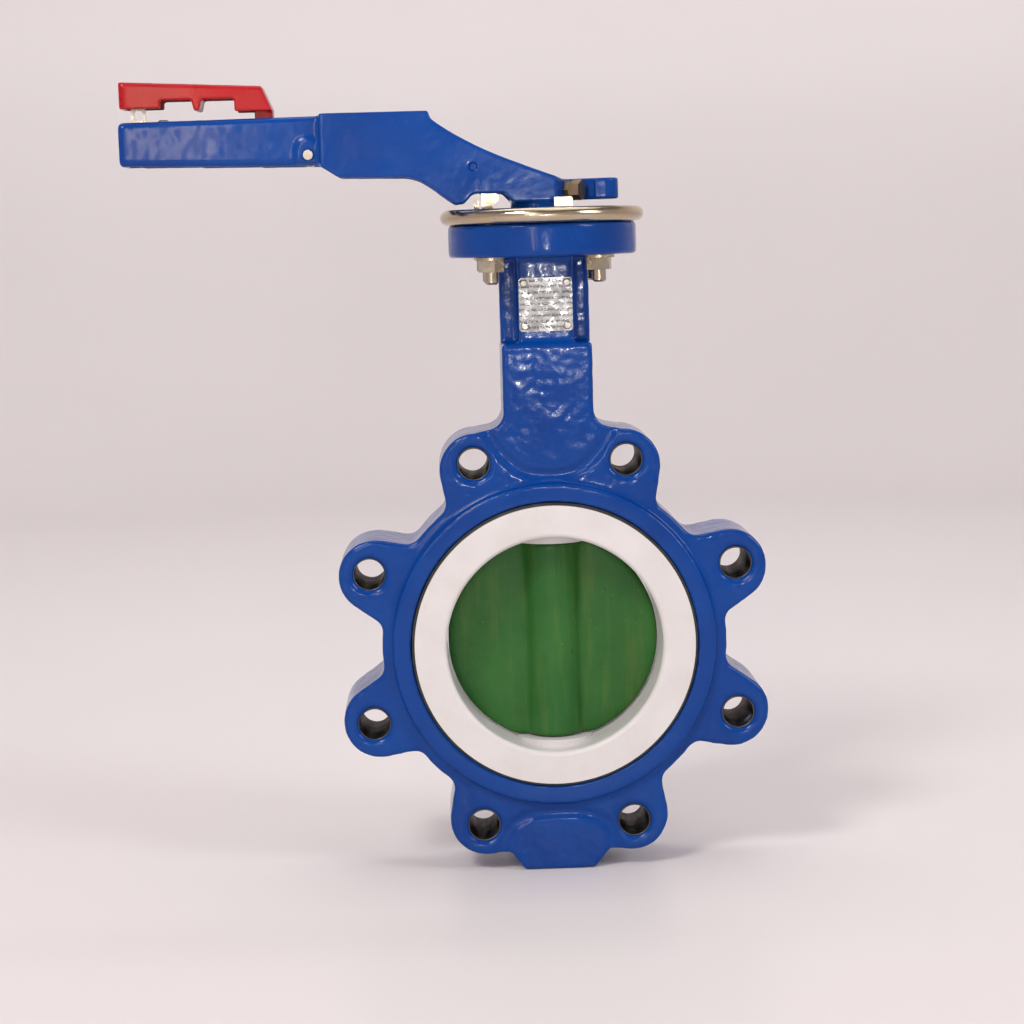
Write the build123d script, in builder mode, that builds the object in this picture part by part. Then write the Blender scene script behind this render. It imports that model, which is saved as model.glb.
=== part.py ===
from build123d import *
import math
import os

# Lug-type butterfly valve with a squeeze lever, in millimetres.
# Origin: centre of the bore at mid-width. +Z runs up the stem, the pipe runs along Y, -Y is the front.
# The disc is closed and the lever points to -X; the lever opens the valve by turning towards -Y.

# Pipe connection
BOLT_CIRCLE = 180.0
LUG_COUNT = 8
LUG_TAP_BORE = 14.0
LUG_TAP_CHAMFER = 2.0
LUG_END_RADIUS = 16.8
LUG_END_INSET = 3.0
LUG_FLARE = 12.0
LUG_THICKNESS = 43.0
FACE_TO_FACE = 52.0
LINER_PROUD = 1.5

# Seat
BORE_RADIUS = 49.0
LINER_WALL = 3.5
LINER_FLARE = 11.2
LINER_FLARE_THICKNESS = 5.5
LINER_LIP_RADIUS = 2.2
BACKING_WALL = 3.5
BACKING_FLARE_THICKNESS = 2.5
BACKING_LIP = 1.3
RING_WALL = 22.5
RAISED_FACE_INSET = 5.0
FIT = 0.1

# Disc
DISC_CLEARANCE = 0.5
DISC_HALF_THICKNESS = 5.0
DISC_EDGE_HALF_THICKNESS = 3.2
DISC_HUB_RADIUS = 13.0
DISC_HUB_INSET = 4.0
PAD_CLEARANCE = 0.3
PAD_EDGE = 0.7

# Stem
STEM_RADIUS = 8.0
RUNNING_FIT = 0.05
STEM_SQUARE = 11.0
STEM_TANG_LENGTH = 12.0
STEM_ENGAGEMENT = 25.0
BUSH_WALL = 3.0
BUSH_LENGTH = 32.0
GLAND_LENGTH = 38.0
O_RING_SECTION = 1.3
O_RING_SPACING = 9.0
THRUST_WASHER_RADIUS = 12.0
THRUST_WASHER_THICKNESS = 1.0
CIRCLIP_THICKNESS = 1.2
CIRCLIP_DEPTH = 0.7
CIRCLIP_RADIUS = 10.6
CIRCLIP_MOUTH = 6.0

# Neck, top flange and foot
FLANGE_TOP = 190.0
FLANGE_THICKNESS = 14.8
FLANGE_RADIUS = 42.7
NECK_WIDTH = 41.0
NECK_STEP = 136.6
NECK_BOSS_WIDTH = 24.8
NECK_BOSS_DEPTH = 39.0
NECK_FLANGE_DEPTH = 12.0
FOOT_DEPTH = 40.0
FOOT_WIDTH = 32.6
FOOT_REACH = 104.8
FOOT_TAPER = 6.5
PLUG_RADIUS = 13.0
PLUG_LENGTH = 7.8
PLUG_SEAL_THICKNESS = 1.4
PLUG_SOCKET_FLATS = 10.0
PLUG_SOCKET_DEPTH = 4.5
CASTING_FILLET = 6.0
FLANGE_ROUND = 1.5
NECK_WEB_RISE = 2.4
FOOT_SHOULDER = 1.0
EDGE_BREAK = 0.8
VALLEY_RADIUS = 3.5
VALLEY_DEPTH = 1.4

# Mounting bolts of the notch plate
PLATE_BOLT_CIRCLE = 68.0
PLATE_BOLT_COUNT = 4
M6_RADIUS = 3.0
M6_CLEARANCE = 0.3
M6_HEAD_FLATS = 10.0
M6_HEAD_HEIGHT = 4.0
M6_NUT_HEIGHT = 5.2
M6_WASHER_RADIUS = 7.0
M6_WASHER_THICKNESS = 1.2
M6_THREAD_BEYOND_NUT = 5.5

# Notch plate
PLATE_THICKNESS = 2.4
BEAD_CENTRE_RADIUS = 42.7
BEAD_CURL_RADIUS = 2.2
BEAD_CURL_ANGLE = 300.0
NOTCH_COUNT = 7
NOTCH_STEP = 15.0
NOTCH_SIDE_CLEARANCE = 0.15
NOTCH_OUTER_CLEARANCE = 0.5
NOTCH_INNER_CLEARANCE = 1.3
STOP_TAB_WIDTH = 8.0
STOP_TAB_RADIUS = 28.1
STOP_TAB_OFFSET = 8.5
STOP_TAB_HEIGHT = 8.8
TAB_WINDOW = 7.0

# Lever
LEVER_REACH = 188.3
LEVER_WALL = 3.0
LEVER_CLEARANCE = 7.0
HANDLE_TOP = 50.4
HANDLE_HEIGHT = 20.6
HANDLE_WIDTH = 24.0
HANDLE_DROP = 0.8
HANDLE_DEEPENING = 2.0
HANDLE_END_ROUND = 2.2
CHEEK_WIDTH = 30.0
CHEEK_START = 98.8
CHEEK_END = 50.0
CHEEK_TOP = 51.2
CHEEK_FLOOR = 22.6
CHEEK_CORNER = 8.0
HUB_RADIUS = 14.0
HUB_FLOOR = 6.8
HUB_TOP = 19.6
TONGUE_REACH = 35.0
TONGUE_WIDTH = 18.0
TONGUE_FLOOR = 10.0
ARCH_HEIGHT = 13.8
ARCH_LEFT = -35.0
ARCH_RIGHT = -13.3
ARCH_SLANT = 4.2
SQUARE_FIT = 0.1

# Clamp screw of the lever hub
CLAMP_HEIGHT = 14.4
CLAMP_ANGLE = -29.0
M5_RADIUS = 2.5
M5_HEAD_FLATS = 8.0
M5_HEAD_HEIGHT = 5.0
M5_NUT_HEIGHT = 2.7
CLAMP_FACE = 13.0
CLAMP_POCKET = 5.6
CLAMP_POCKET_DEPTH = 5.2
CLAMP_TIP = 4.5
CLAMP_HEAD_ROOM = 12.0

# Latch
PIVOT_X = -104.0
PIVOT_HEIGHT = 33.1
PIVOT_RADIUS = 2.0
PIVOT_HEAD_RADIUS = 2.4
PIVOT_HEAD = 0.6
PIVOT_BOSS_RADIUS = 5.4
PIVOT_BOSS_RISE = 2.2
PIVOT_BOSS_PROUD = 1.0
ARM_THICKNESS = 6.0
ARM_EYE_RADIUS = 5.0
PAWL_THICKNESS = 3.2
PAWL_TOOTH_OUT = 27.1
PAWL_TOOTH_IN = 21.9
PAWL_TIP_GAP = 0.6
PAWL_RIVET_RADIUS = 1.5
STOP_PIN_X = -30.6
STOP_PIN_HEIGHT = 25.8
STOP_PIN_RADIUS = 1.5
SPRING_X = -78.0
SPRING_RADIUS = 3.6
SPRING_WIRE = 0.5
SPRING_TURNS = 5
SPRING_GAP = 0.3

# Trigger
TRIGGER_END = 0.7
TRIGGER_WIDTH = 19.0
TRIGGER_WALL = 2.3
TRIGGER_TOP_LEFT = 67.7
TRIGGER_TOP_RIGHT = 64.4
TRIGGER_BLOCK_LENGTH = 18.6
TRIGGER_BLOCK_FLOOR = 55.6
TRIGGER_BAR_FLOOR = 59.0
TRIGGER_RIB_X = -153.0
TRIGGER_RIB_WIDTH = 4.7
TRIGGER_RIB_TIP = 2.4
TRIGGER_RIB_FLOOR = 54.1
TRIGGER_HEEL_X = -136.2
TRIGGER_HEEL_FLOOR = 53.4
TRIGGER_LEG_LEFT = -127.5
TRIGGER_LEG_RIGHT = -119.4
TRIGGER_LEG_WIDTH = 11.0
TRIGGER_LEG_DEPTH = 14.0
TRIGGER_SHOULDER = 4.6
ARM_LAP = 4.8
LEG_CLEARANCE = 1.4
GRIP_RIVET_RADIUS = 1.2

# Padlock eye
EYE_WIDTH = 6.5
EYE_THICKNESS = 2.0
EYE_OFFSET = 8.4
EYE_HEIGHT = 9.0
EYE_HOLE_RADIUS = 2.1
EYE_HOLE_HEIGHT = 2.9
EYE_FOOT_LENGTH = 19.0
EYE_RIVET_OFFSET = 19.5
EYE_FOOT_WIDTH = 9.0
EYE_RIVET_RADIUS = 1.5
EYE_RIVET_HEAD_RADIUS = 2.4
EYE_RIVET_HEAD = 0.9

# Tag plate
TAG_SIZE = 24.0
TAG_THICKNESS = 0.6
TAG_HEIGHT = 153.8
TAG_CORNER_RADIUS = 1.5
TAG_RIVET_INSET = 2.4
TAG_RIVET_RADIUS = 1.1
TAG_RIVET_HEAD_RADIUS = 1.8
TAG_RIVET_HEAD = 0.8
TAG_RIVET_DEPTH = 5.0

# Sizes that follow from the ones above
half_thickness = LUG_THICKNESS / 2
half_face = FACE_TO_FACE / 2
raised_face = half_face - LINER_PROUD
liner_radius = BORE_RADIUS + LINER_WALL
liner_flare_radius = liner_radius + LINER_FLARE
backing_radius = liner_radius + BACKING_WALL
recess_radius = liner_flare_radius + BACKING_LIP
ring_radius = backing_radius + RING_WALL
raised_face_radius = ring_radius - RAISED_FACE_INSET
lug_centre = BOLT_CIRCLE / 2 - LUG_END_INSET
lug_start = 180.0 / LUG_COUNT
disc_radius = BORE_RADIUS - DISC_CLEARANCE
hub_end = BORE_RADIUS - DISC_HUB_INSET
pad_radius = math.sqrt(disc_radius**2 - hub_end**2) - PAD_EDGE
pad_top = math.sqrt(liner_radius**2 - pad_radius**2) - RUNNING_FIT
bush_radius = STEM_RADIUS + BUSH_WALL
flange_floor = FLANGE_TOP - FLANGE_THICKNESS
plate_top = FLANGE_TOP + PLATE_THICKNESS
handle_top = FLANGE_TOP + HANDLE_TOP
handle_floor = handle_top - HANDLE_HEIGHT
cheek_top = FLANGE_TOP + CHEEK_TOP
cheek_floor = FLANGE_TOP + CHEEK_FLOOR
lever_floor = plate_top + LEVER_CLEARANCE
hub_floor = FLANGE_TOP + HUB_FLOOR
hub_top = FLANGE_TOP + HUB_TOP
arch_top = FLANGE_TOP + ARCH_HEIGHT
handle_half = HANDLE_WIDTH / 2
cheek_half = CHEEK_WIDTH / 2
pivot_z = FLANGE_TOP + PIVOT_HEIGHT
stop_pin_z = FLANGE_TOP + STOP_PIN_HEIGHT
trigger_left = TRIGGER_END - LEVER_REACH
eye_x = EYE_OFFSET - LEVER_REACH
grip_rivet_at = ((TRIGGER_LEG_LEFT + TRIGGER_LEG_RIGHT) / 2, handle_top - TRIGGER_LEG_DEPTH + ARM_LAP / 2)
tag_pitch = TAG_SIZE - 2 * TAG_RIVET_INSET
backing_floor = half_face - LINER_FLARE_THICKNESS - BACKING_FLARE_THICKNESS
foot_floor = -FOOT_REACH
plug_top = foot_floor + PLUG_LENGTH
plug_seat = plug_top + PLUG_SEAL_THICKNESS

# Top line of the lever from the raised cheeks down to the hub, x and height above the flange
LEVER_SLOPE = [(-48.8, 47.6), (-29.5, 35.6), (-14.0, 28.6), (9.0, 19.9)]
# Bottom line of the lever from under the cheeks round its belly to the arch, x and height above the flange
LEVER_BELLY = [(-61.5, 21.9), (-52.0, 18.6), (-44.0, 12.6), (-38.5, 8.9)]
# Edges of the latch arm between its eye and the pawl, x and height above the flange
ARM_BOTTOM = [(-98.0, 28.4), (-90.0, 25.4), (-64.0, 25.4), (-46.0, 17.6), (-38.0, 13.9), (-28.2, 13.9)]
ARM_TOP = [(-28.2, 19.4), (-37.0, 19.4), (-45.0, 25.6), (-62.0, 33.4), (-98.0, 34.0)]
# Outline of the pawl above its tooth, x and height above the flange
PAWL_SHOULDER = [(-36.0, 14.2), (-36.0, 19.0), (-27.8, 19.0), (-19.2, 13.2), (-19.2, 10.8), (-21.9, 8.4)]
PAWL_RIVET = (-32.0, 16.6)

o_ring_radius = STEM_RADIUS + RUNNING_FIT + O_RING_SECTION
o_ring_heights = [FLANGE_TOP - (GLAND_LENGTH + shift) / 2 for shift in (O_RING_SPACING, -O_RING_SPACING)]
ring_groove_z = plate_top + THRUST_WASHER_THICKNESS
notch_in = PAWL_TOOTH_IN - NOTCH_INNER_CLEARANCE
notch_out = PAWL_TOOTH_OUT + NOTCH_OUTER_CLEARANCE
stop_tab_y = STOP_TAB_RADIUS + PLATE_THICKNESS / 2
stop_tabs = [
    (STOP_TAB_OFFSET, -stop_tab_y, STOP_TAB_WIDTH, PLATE_THICKNESS),
    (-stop_tab_y, STOP_TAB_OFFSET, PLATE_THICKNESS, STOP_TAB_WIDTH),
]
tab_windows = [
    (STOP_TAB_OFFSET, -STOP_TAB_RADIUS + TAB_WINDOW / 2, STOP_TAB_WIDTH, TAB_WINDOW),
    (-STOP_TAB_RADIUS + TAB_WINDOW / 2, STOP_TAB_OFFSET, TAB_WINDOW, STOP_TAB_WIDTH),
]
clamp_plane = Plane(
    origin=(0, 0, FLANGE_TOP + CLAMP_HEIGHT),
    x_dir=(0, 0, 1),
    z_dir=(math.cos(math.radians(CLAMP_ANGLE)), math.sin(math.radians(CLAMP_ANGLE)), 0),
)

bottom_up = (Align.CENTER, Align.CENTER, Align.MIN)
top_down = (Align.CENTER, Align.CENTER, Align.MAX)


def post(radius, low, high, mode=Mode.ADD):
    """A round bar along Z between two heights, in the part that is being built."""
    with Locations((0, 0, low)):
        Cylinder(radius, high - low, align=bottom_up, mode=mode)


def side_plate(points, half_width, mode=Mode.ADD):
    """A plate whose outline is given in X and Z, centred on the stem's plane."""
    with BuildSketch(Plane.XZ) as outline:
        Polygon(*points, align=None)
    extrude(outline.sketch, amount=half_width, both=True, mode=mode)


def cross_pin(x, z, radius, half_length, mode=Mode.ADD):
    """A round pin, or its hole, along Y."""
    with BuildSketch(Plane.XZ) as section:
        with Locations((x, z)):
            Circle(radius)
    extrude(section.sketch, amount=half_length, both=True, mode=mode)


def make_body():
    flare = math.radians(LUG_FLARE)
    tangent_r = lug_centre + LUG_END_RADIUS * math.sin(flare)
    tangent_w = LUG_END_RADIUS * math.cos(flare)
    root_r = backing_radius + RING_WALL / 2
    root_w = tangent_w + (tangent_r - root_r) * math.tan(flare)
    lug_x = lug_centre * math.cos(math.radians(90 - lug_start))
    lug_z = lug_centre * math.sin(math.radians(90 - lug_start)) + LUG_END_RADIUS
    web_z = lug_z + NECK_WEB_RISE
    neck_half = NECK_WIDTH / 2
    foot_half = FOOT_WIDTH / 2
    with BuildPart() as body:
        with BuildSketch(Plane.XZ) as outline:
            Circle(ring_radius)
            with PolarLocations(lug_centre, LUG_COUNT, start_angle=lug_start):
                Circle(LUG_END_RADIUS)
            with PolarLocations(0, LUG_COUNT, start_angle=lug_start):
                Polygon((tangent_r, tangent_w), (root_r, root_w), (root_r, -root_w), (tangent_r, -tangent_w),
                        align=None)
            Polygon((-lug_x, 0), (-lug_x, lug_z), (-neck_half, web_z), (-neck_half, NECK_STEP),
                    (neck_half, NECK_STEP), (neck_half, web_z), (lug_x, lug_z), (lug_x, 0), align=None)
            Polygon((-lug_x, 0), (-lug_x, -lug_z), (-foot_half - FOOT_TAPER, FOOT_SHOULDER - lug_z),
                    (-foot_half, foot_floor), (foot_half, foot_floor),
                    (foot_half + FOOT_TAPER, FOOT_SHOULDER - lug_z), (lug_x, -lug_z), (lug_x, 0), align=None)
            fillet(outline.vertices().filter_by(
                lambda v: abs(math.hypot(v.X, v.Y) - ring_radius) < 0.01), radius=CASTING_FILLET)
            fillet(outline.vertices().filter_by(
                lambda v: abs(v.Y - web_z) < 0.01), radius=CASTING_FILLET * 4 / 3)
            fillet(outline.vertices().group_by(Axis.Y)[0], radius=CASTING_FILLET / 2)
        extrude(amount=half_thickness, both=True)
        with BuildSketch(Plane.XZ):
            Circle(raised_face_radius)
        extrude(amount=raised_face, both=True)
        with BuildSketch(Plane.XY.offset(NECK_STEP)):
            Rectangle(NECK_BOSS_WIDTH, NECK_BOSS_DEPTH)
            Rectangle(NECK_WIDTH, NECK_FLANGE_DEPTH)
        extrude(amount=flange_floor - NECK_STEP)
        post(FLANGE_RADIUS, flange_floor, FLANGE_TOP)
        fillet(body.edges().filter_by(GeomType.CIRCLE).filter_by(
            lambda e: abs(e.radius - FLANGE_RADIUS) < 0.01), radius=FLANGE_ROUND)
        # Valleys that set the neck and the foot off from the lugs, front and back
        for side in (-1, 1):
            valley_y = side * (half_thickness + VALLEY_RADIUS - VALLEY_DEPTH)
            make_valleys(valley_y, lug_z)
        # Seat recess and through bore
        with BuildSketch(Plane.XY):
            with BuildLine():
                Polyline(
                    (0, -half_face), (recess_radius, -half_face), (recess_radius, -backing_floor),
                    (backing_radius + FIT, -backing_floor), (backing_radius + FIT, backing_floor),
                    (recess_radius, backing_floor), (recess_radius, half_face), (0, half_face), close=True
                )
            make_face()
        revolve(axis=Axis.Y, mode=Mode.SUBTRACT)
        # Stem bore, plug bore and flange holes
        post(bush_radius, 0, FLANGE_TOP, mode=Mode.SUBTRACT)
        post(bush_radius, foot_floor, 0, mode=Mode.SUBTRACT)
        post(PLUG_RADIUS, foot_floor, plug_seat, mode=Mode.SUBTRACT)
        with PolarLocations(PLATE_BOLT_CIRCLE / 2, PLATE_BOLT_COUNT, start_angle=45):
            with Locations((0, 0, FLANGE_TOP)):
                Cylinder(M6_RADIUS + M6_CLEARANCE, FLANGE_THICKNESS, align=top_down, mode=Mode.SUBTRACT)
        # Tapped lug holes with a chamfer at each end
        with BuildSketch(Plane.XZ):
            with PolarLocations(BOLT_CIRCLE / 2, LUG_COUNT, start_angle=lug_start):
                Circle(LUG_TAP_BORE / 2)
        extrude(amount=half_thickness, both=True, mode=Mode.SUBTRACT)
        for side in (-1, 1):
            inward = Plane(origin=(0, side * half_thickness, 0), x_dir=(1, 0, 0), z_dir=(0, -side, 0))
            with BuildSketch(inward):
                with PolarLocations(BOLT_CIRCLE / 2, LUG_COUNT, start_angle=lug_start):
                    Circle(LUG_TAP_BORE / 2 + LUG_TAP_CHAMFER)
            extrude(amount=LUG_TAP_CHAMFER, taper=45, mode=Mode.SUBTRACT)
        # Rivet holes of the tag plate
        with BuildSketch(Plane.XZ.offset(NECK_BOSS_DEPTH / 2)):
            with Locations((0, TAG_HEIGHT)):
                with GridLocations(tag_pitch, tag_pitch, 2, 2):
                    Circle(TAG_RIVET_RADIUS)
        extrude(amount=-TAG_RIVET_DEPTH, mode=Mode.SUBTRACT)
    body.part.label = "body"
    export_step(body.part, "parts/body.step")


def make_valleys(valley_y, lug_z):
    """Cut the U-shaped valley round the neck root and the arched one over the foot, on one face."""
    neck_half = NECK_WIDTH / 2
    low = raised_face_radius + VALLEY_RADIUS
    paths = [
        [(-neck_half - 10, lug_z + 6), (-neck_half + 3, low + 6), (-neck_half / 2, low + 1.5), (0, low + 0.4),
         (neck_half / 2, low + 1.5), (neck_half - 3, low + 6), (neck_half + 10, lug_z + 6)],
        [(-neck_half - 6, -lug_z - 3), (-neck_half + 1, -low - 5), (0, -low - 1),
         (neck_half - 1, -low - 5), (neck_half + 6, -lug_z - 3)],
    ]
    for points in paths:
        with BuildLine(Plane.XZ.offset(-valley_y)) as path:
            Spline(*points)
        with BuildSketch(Plane(origin=path.line @ 0, z_dir=path.line % 0)) as section:
            Circle(VALLEY_RADIUS)
        sweep(sections=section.sketch, path=path.line, mode=Mode.SUBTRACT)


def make_liner():
    flare_in = half_face - LINER_FLARE_THICKNESS
    with BuildPart() as liner:
        with BuildSketch(Plane.XY) as section:
            with BuildLine():
                Polyline(
                    (BORE_RADIUS, -half_face), (liner_flare_radius, -half_face),
                    (liner_flare_radius, -flare_in), (liner_radius, -flare_in),
                    (liner_radius, flare_in), (liner_flare_radius, flare_in),
                    (liner_flare_radius, half_face), (BORE_RADIUS, half_face), close=True
                )
            make_face()
            fillet(section.vertices().group_by(Axis.X)[0], radius=LINER_LIP_RADIUS)
        revolve(axis=Axis.Y)
        # Flat pads that face the ends of the disc hub, with the stem holes through them
        for side in (1, -1):
            with BuildSketch(Plane.XY.offset(side * (hub_end + PAD_CLEARANCE))):
                Circle(pad_radius)
            extrude(amount=side * (pad_top - hub_end - PAD_CLEARANCE))
        post(STEM_RADIUS + FIT, -liner_radius, liner_radius, mode=Mode.SUBTRACT)
    liner.part.label = "liner"
    export_step(liner.part, "parts/liner.step")


def make_liner_backing():
    flare_out = half_face - LINER_FLARE_THICKNESS
    lip_out = raised_face - RUNNING_FIT
    with BuildPart() as liner_backing:
        with BuildSketch(Plane.XY):
            with BuildLine():
                Polyline(
                    (liner_radius + FIT, -flare_out), (liner_flare_radius + FIT, -flare_out),
                    (liner_flare_radius + FIT, -lip_out), (recess_radius - FIT, -lip_out),
                    (recess_radius - FIT, -backing_floor), (backing_radius, -backing_floor),
                    (backing_radius, backing_floor), (recess_radius - FIT, backing_floor),
                    (recess_radius - FIT, lip_out), (liner_flare_radius + FIT, lip_out),
                    (liner_flare_radius + FIT, flare_out), (liner_radius + FIT, flare_out), close=True
                )
            make_face()
        revolve(axis=Axis.Y)
        post(STEM_RADIUS + FIT, -backing_radius, backing_radius, mode=Mode.SUBTRACT)
    liner_backing.part.label = "liner_backing"
    export_step(liner_backing.part, "parts/liner_backing.step")


def make_disc():
    edge = DISC_EDGE_HALF_THICKNESS
    edge_radius = math.sqrt(disc_radius**2 - edge**2)
    tang = STEM_SQUARE + 2 * RUNNING_FIT
    tang_end = hub_end - STEM_ENGAGEMENT
    with BuildPart() as disc:
        with BuildSketch(Plane.XY):
            with BuildLine():
                Polyline((0, edge), (0, -DISC_HALF_THICKNESS), (DISC_HUB_RADIUS, -DISC_HALF_THICKNESS),
                         (edge_radius, -edge))
                ThreePointArc((edge_radius, -edge), (disc_radius, 0), (edge_radius, edge))
                Polyline((edge_radius, edge), (DISC_HUB_RADIUS, DISC_HALF_THICKNESS),
                         (0, DISC_HALF_THICKNESS), (0, edge))
            make_face()
        revolve(axis=Axis.Y)
        post(DISC_HUB_RADIUS, -hub_end, hub_end)
        # Trim the rim flush with the flat ends of the hub
        for side in (1, -1):
            with BuildSketch(Plane.XY.offset(side * hub_end)):
                Rectangle(2 * disc_radius, 2 * disc_radius)
            extrude(amount=side * DISC_HUB_INSET, mode=Mode.SUBTRACT)
        # Round sockets for both stems, and the square socket that the upper one drives
        post(STEM_RADIUS + RUNNING_FIT, tang_end + STEM_TANG_LENGTH, hub_end, mode=Mode.SUBTRACT)
        post(STEM_RADIUS + RUNNING_FIT, -hub_end, -tang_end, mode=Mode.SUBTRACT)
        with BuildSketch(Plane.XY.offset(tang_end)):
            Rectangle(tang, tang)
        extrude(amount=STEM_TANG_LENGTH, mode=Mode.SUBTRACT)
    disc.part.label = "disc"
    export_step(disc.part, "parts/disc.step")


def make_stems():
    tang_end = hub_end - STEM_ENGAGEMENT
    square_start = hub_floor - 1.5
    with BuildPart() as upper_stem:
        with BuildSketch(Plane.XY.offset(tang_end + RUNNING_FIT)):
            Rectangle(STEM_SQUARE, STEM_SQUARE)
        extrude(amount=STEM_TANG_LENGTH)
        post(STEM_RADIUS, tang_end + STEM_TANG_LENGTH + RUNNING_FIT, square_start)
        with BuildSketch(Plane.XY.offset(square_start)):
            Rectangle(STEM_SQUARE, STEM_SQUARE)
        extrude(amount=hub_top - square_start)
        chamfer(upper_stem.faces().sort_by(Axis.Z)[-1].edges(), length=EDGE_BREAK)
        # Groove for the retaining ring, and the dimple that the clamp screw enters
        with Locations((0, 0, ring_groove_z)):
            Cylinder(STEM_RADIUS + 1, CIRCLIP_THICKNESS + 2 * FIT, align=bottom_up, mode=Mode.SUBTRACT)
            Cylinder(STEM_RADIUS - CIRCLIP_DEPTH, CIRCLIP_THICKNESS + 2 * FIT, align=bottom_up)
        with BuildSketch(clamp_plane.offset(CLAMP_TIP)):
            Circle(M5_RADIUS + RUNNING_FIT)
        extrude(amount=STEM_RADIUS, mode=Mode.SUBTRACT)
    upper_stem.part.label = "upper_stem"
    export_step(upper_stem.part, "parts/upper_stem.step")

    with BuildPart() as lower_stem:
        post(STEM_RADIUS, plug_seat + FIT, -tang_end - RUNNING_FIT)
        chamfer(lower_stem.edges().filter_by(GeomType.CIRCLE), length=EDGE_BREAK)
    lower_stem.part.label = "lower_stem"
    export_step(lower_stem.part, "parts/lower_stem.step")


def make_bushes():
    spans = {
        "upper_bush": (backing_radius + FIT, backing_radius + FIT + BUSH_LENGTH),
        "lower_bush": (-backing_radius - FIT - BUSH_LENGTH, -backing_radius - FIT),
    }
    for name, (low, high) in spans.items():
        with BuildPart() as bush:
            post(bush_radius - FIT, low, high)
            post(STEM_RADIUS + RUNNING_FIT, low, high, mode=Mode.SUBTRACT)
            chamfer(bush.edges().filter_by(GeomType.CIRCLE), length=EDGE_BREAK / 2)
        bush.part.label = name
        export_step(bush.part, f"parts/{name}.step")


def make_gland_bush():
    low = FLANGE_TOP - GLAND_LENGTH
    high = FLANGE_TOP - FIT
    with BuildPart() as gland_bush:
        post(bush_radius - FIT, low, high)
        post(STEM_RADIUS + RUNNING_FIT, low, high, mode=Mode.SUBTRACT)
        for z in o_ring_heights:
            post(o_ring_radius + O_RING_SECTION + FIT, z - O_RING_SECTION - FIT, z + O_RING_SECTION + FIT,
                 mode=Mode.SUBTRACT)
    gland_bush.part.label = "gland_bush"
    export_step(gland_bush.part, "parts/gland_bush.step")

    with BuildPart() as stem_o_rings:
        with BuildSketch(Plane.XZ):
            for z in o_ring_heights:
                with Locations((o_ring_radius, z)):
                    Circle(O_RING_SECTION)
        revolve(axis=Axis.Z)
    stem_o_rings.part.label = "stem_o_rings"
    export_step(stem_o_rings.part, "parts/stem_o_rings.step")


def make_bottom_plug():
    with BuildPart() as bottom_plug:
        post(PLUG_RADIUS - FIT, foot_floor, plug_top)
        chamfer(bottom_plug.edges().filter_by(GeomType.CIRCLE), length=EDGE_BREAK)
        with BuildSketch(Plane.XY.offset(foot_floor)):
            RegularPolygon(PLUG_SOCKET_FLATS / 2, 6, major_radius=False)
        extrude(amount=PLUG_SOCKET_DEPTH, mode=Mode.SUBTRACT)
    bottom_plug.part.label = "bottom_plug"
    export_step(bottom_plug.part, "parts/bottom_plug.step")

    with BuildPart() as plug_seal:
        post(PLUG_RADIUS - FIT, plug_top, plug_seat)
        post(bush_radius - FIT, plug_top, plug_seat, mode=Mode.SUBTRACT)
    plug_seal.part.label = "plug_seal"
    export_step(plug_seal.part, "parts/plug_seal.step")


def make_notch_plate():
    web_mid = FLANGE_TOP + PLATE_THICKNESS / 2
    curl_end = math.radians(BEAD_CURL_ANGLE)
    curl_mid = curl_end / 2
    curl_z = web_mid + BEAD_CURL_RADIUS
    curl_points = [
        (BEAD_CENTRE_RADIUS + BEAD_CURL_RADIUS * math.sin(a), curl_z - BEAD_CURL_RADIUS * math.cos(a))
        for a in (curl_mid, curl_end)
    ]
    with BuildPart() as notch_plate:
        with BuildSketch(Plane.XZ):
            with BuildLine():
                Line((STEM_RADIUS + 1.5, web_mid), (BEAD_CENTRE_RADIUS, web_mid))
                ThreePointArc((BEAD_CENTRE_RADIUS, web_mid), *curl_points)
            trace(line_width=PLATE_THICKNESS)
        revolve(axis=Axis.Z)
        # Notches that the pawl drops into, every 15 degrees from shut to open
        with BuildSketch(Plane.XY.offset(FLANGE_TOP)):
            with PolarLocations(0, NOTCH_COUNT, start_angle=180,
                                angular_range=NOTCH_STEP * (NOTCH_COUNT - 1), endpoint=True):
                with Locations(((notch_in + notch_out) / 2, 0)):
                    Rectangle(notch_out - notch_in, PAWL_THICKNESS + 2 * NOTCH_SIDE_CLEARANCE)
            with PolarLocations(PLATE_BOLT_CIRCLE / 2, PLATE_BOLT_COUNT, start_angle=45):
                Circle(M6_RADIUS + M6_CLEARANCE)
            for x, y, width, depth in tab_windows:
                with Locations((x, y)):
                    Rectangle(width, depth)
        extrude(amount=PLATE_THICKNESS, mode=Mode.SUBTRACT)
        # Over-travel tabs bent up out of the plate, one past each end of the swing
        with BuildSketch(Plane.XY.offset(FLANGE_TOP)):
            for x, y, width, depth in stop_tabs:
                with Locations((x, y)):
                    Rectangle(width, depth)
        extrude(amount=PLATE_THICKNESS + STOP_TAB_HEIGHT)
    notch_plate.part.label = "notch_plate"
    export_step(notch_plate.part, "parts/notch_plate.step")


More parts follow.
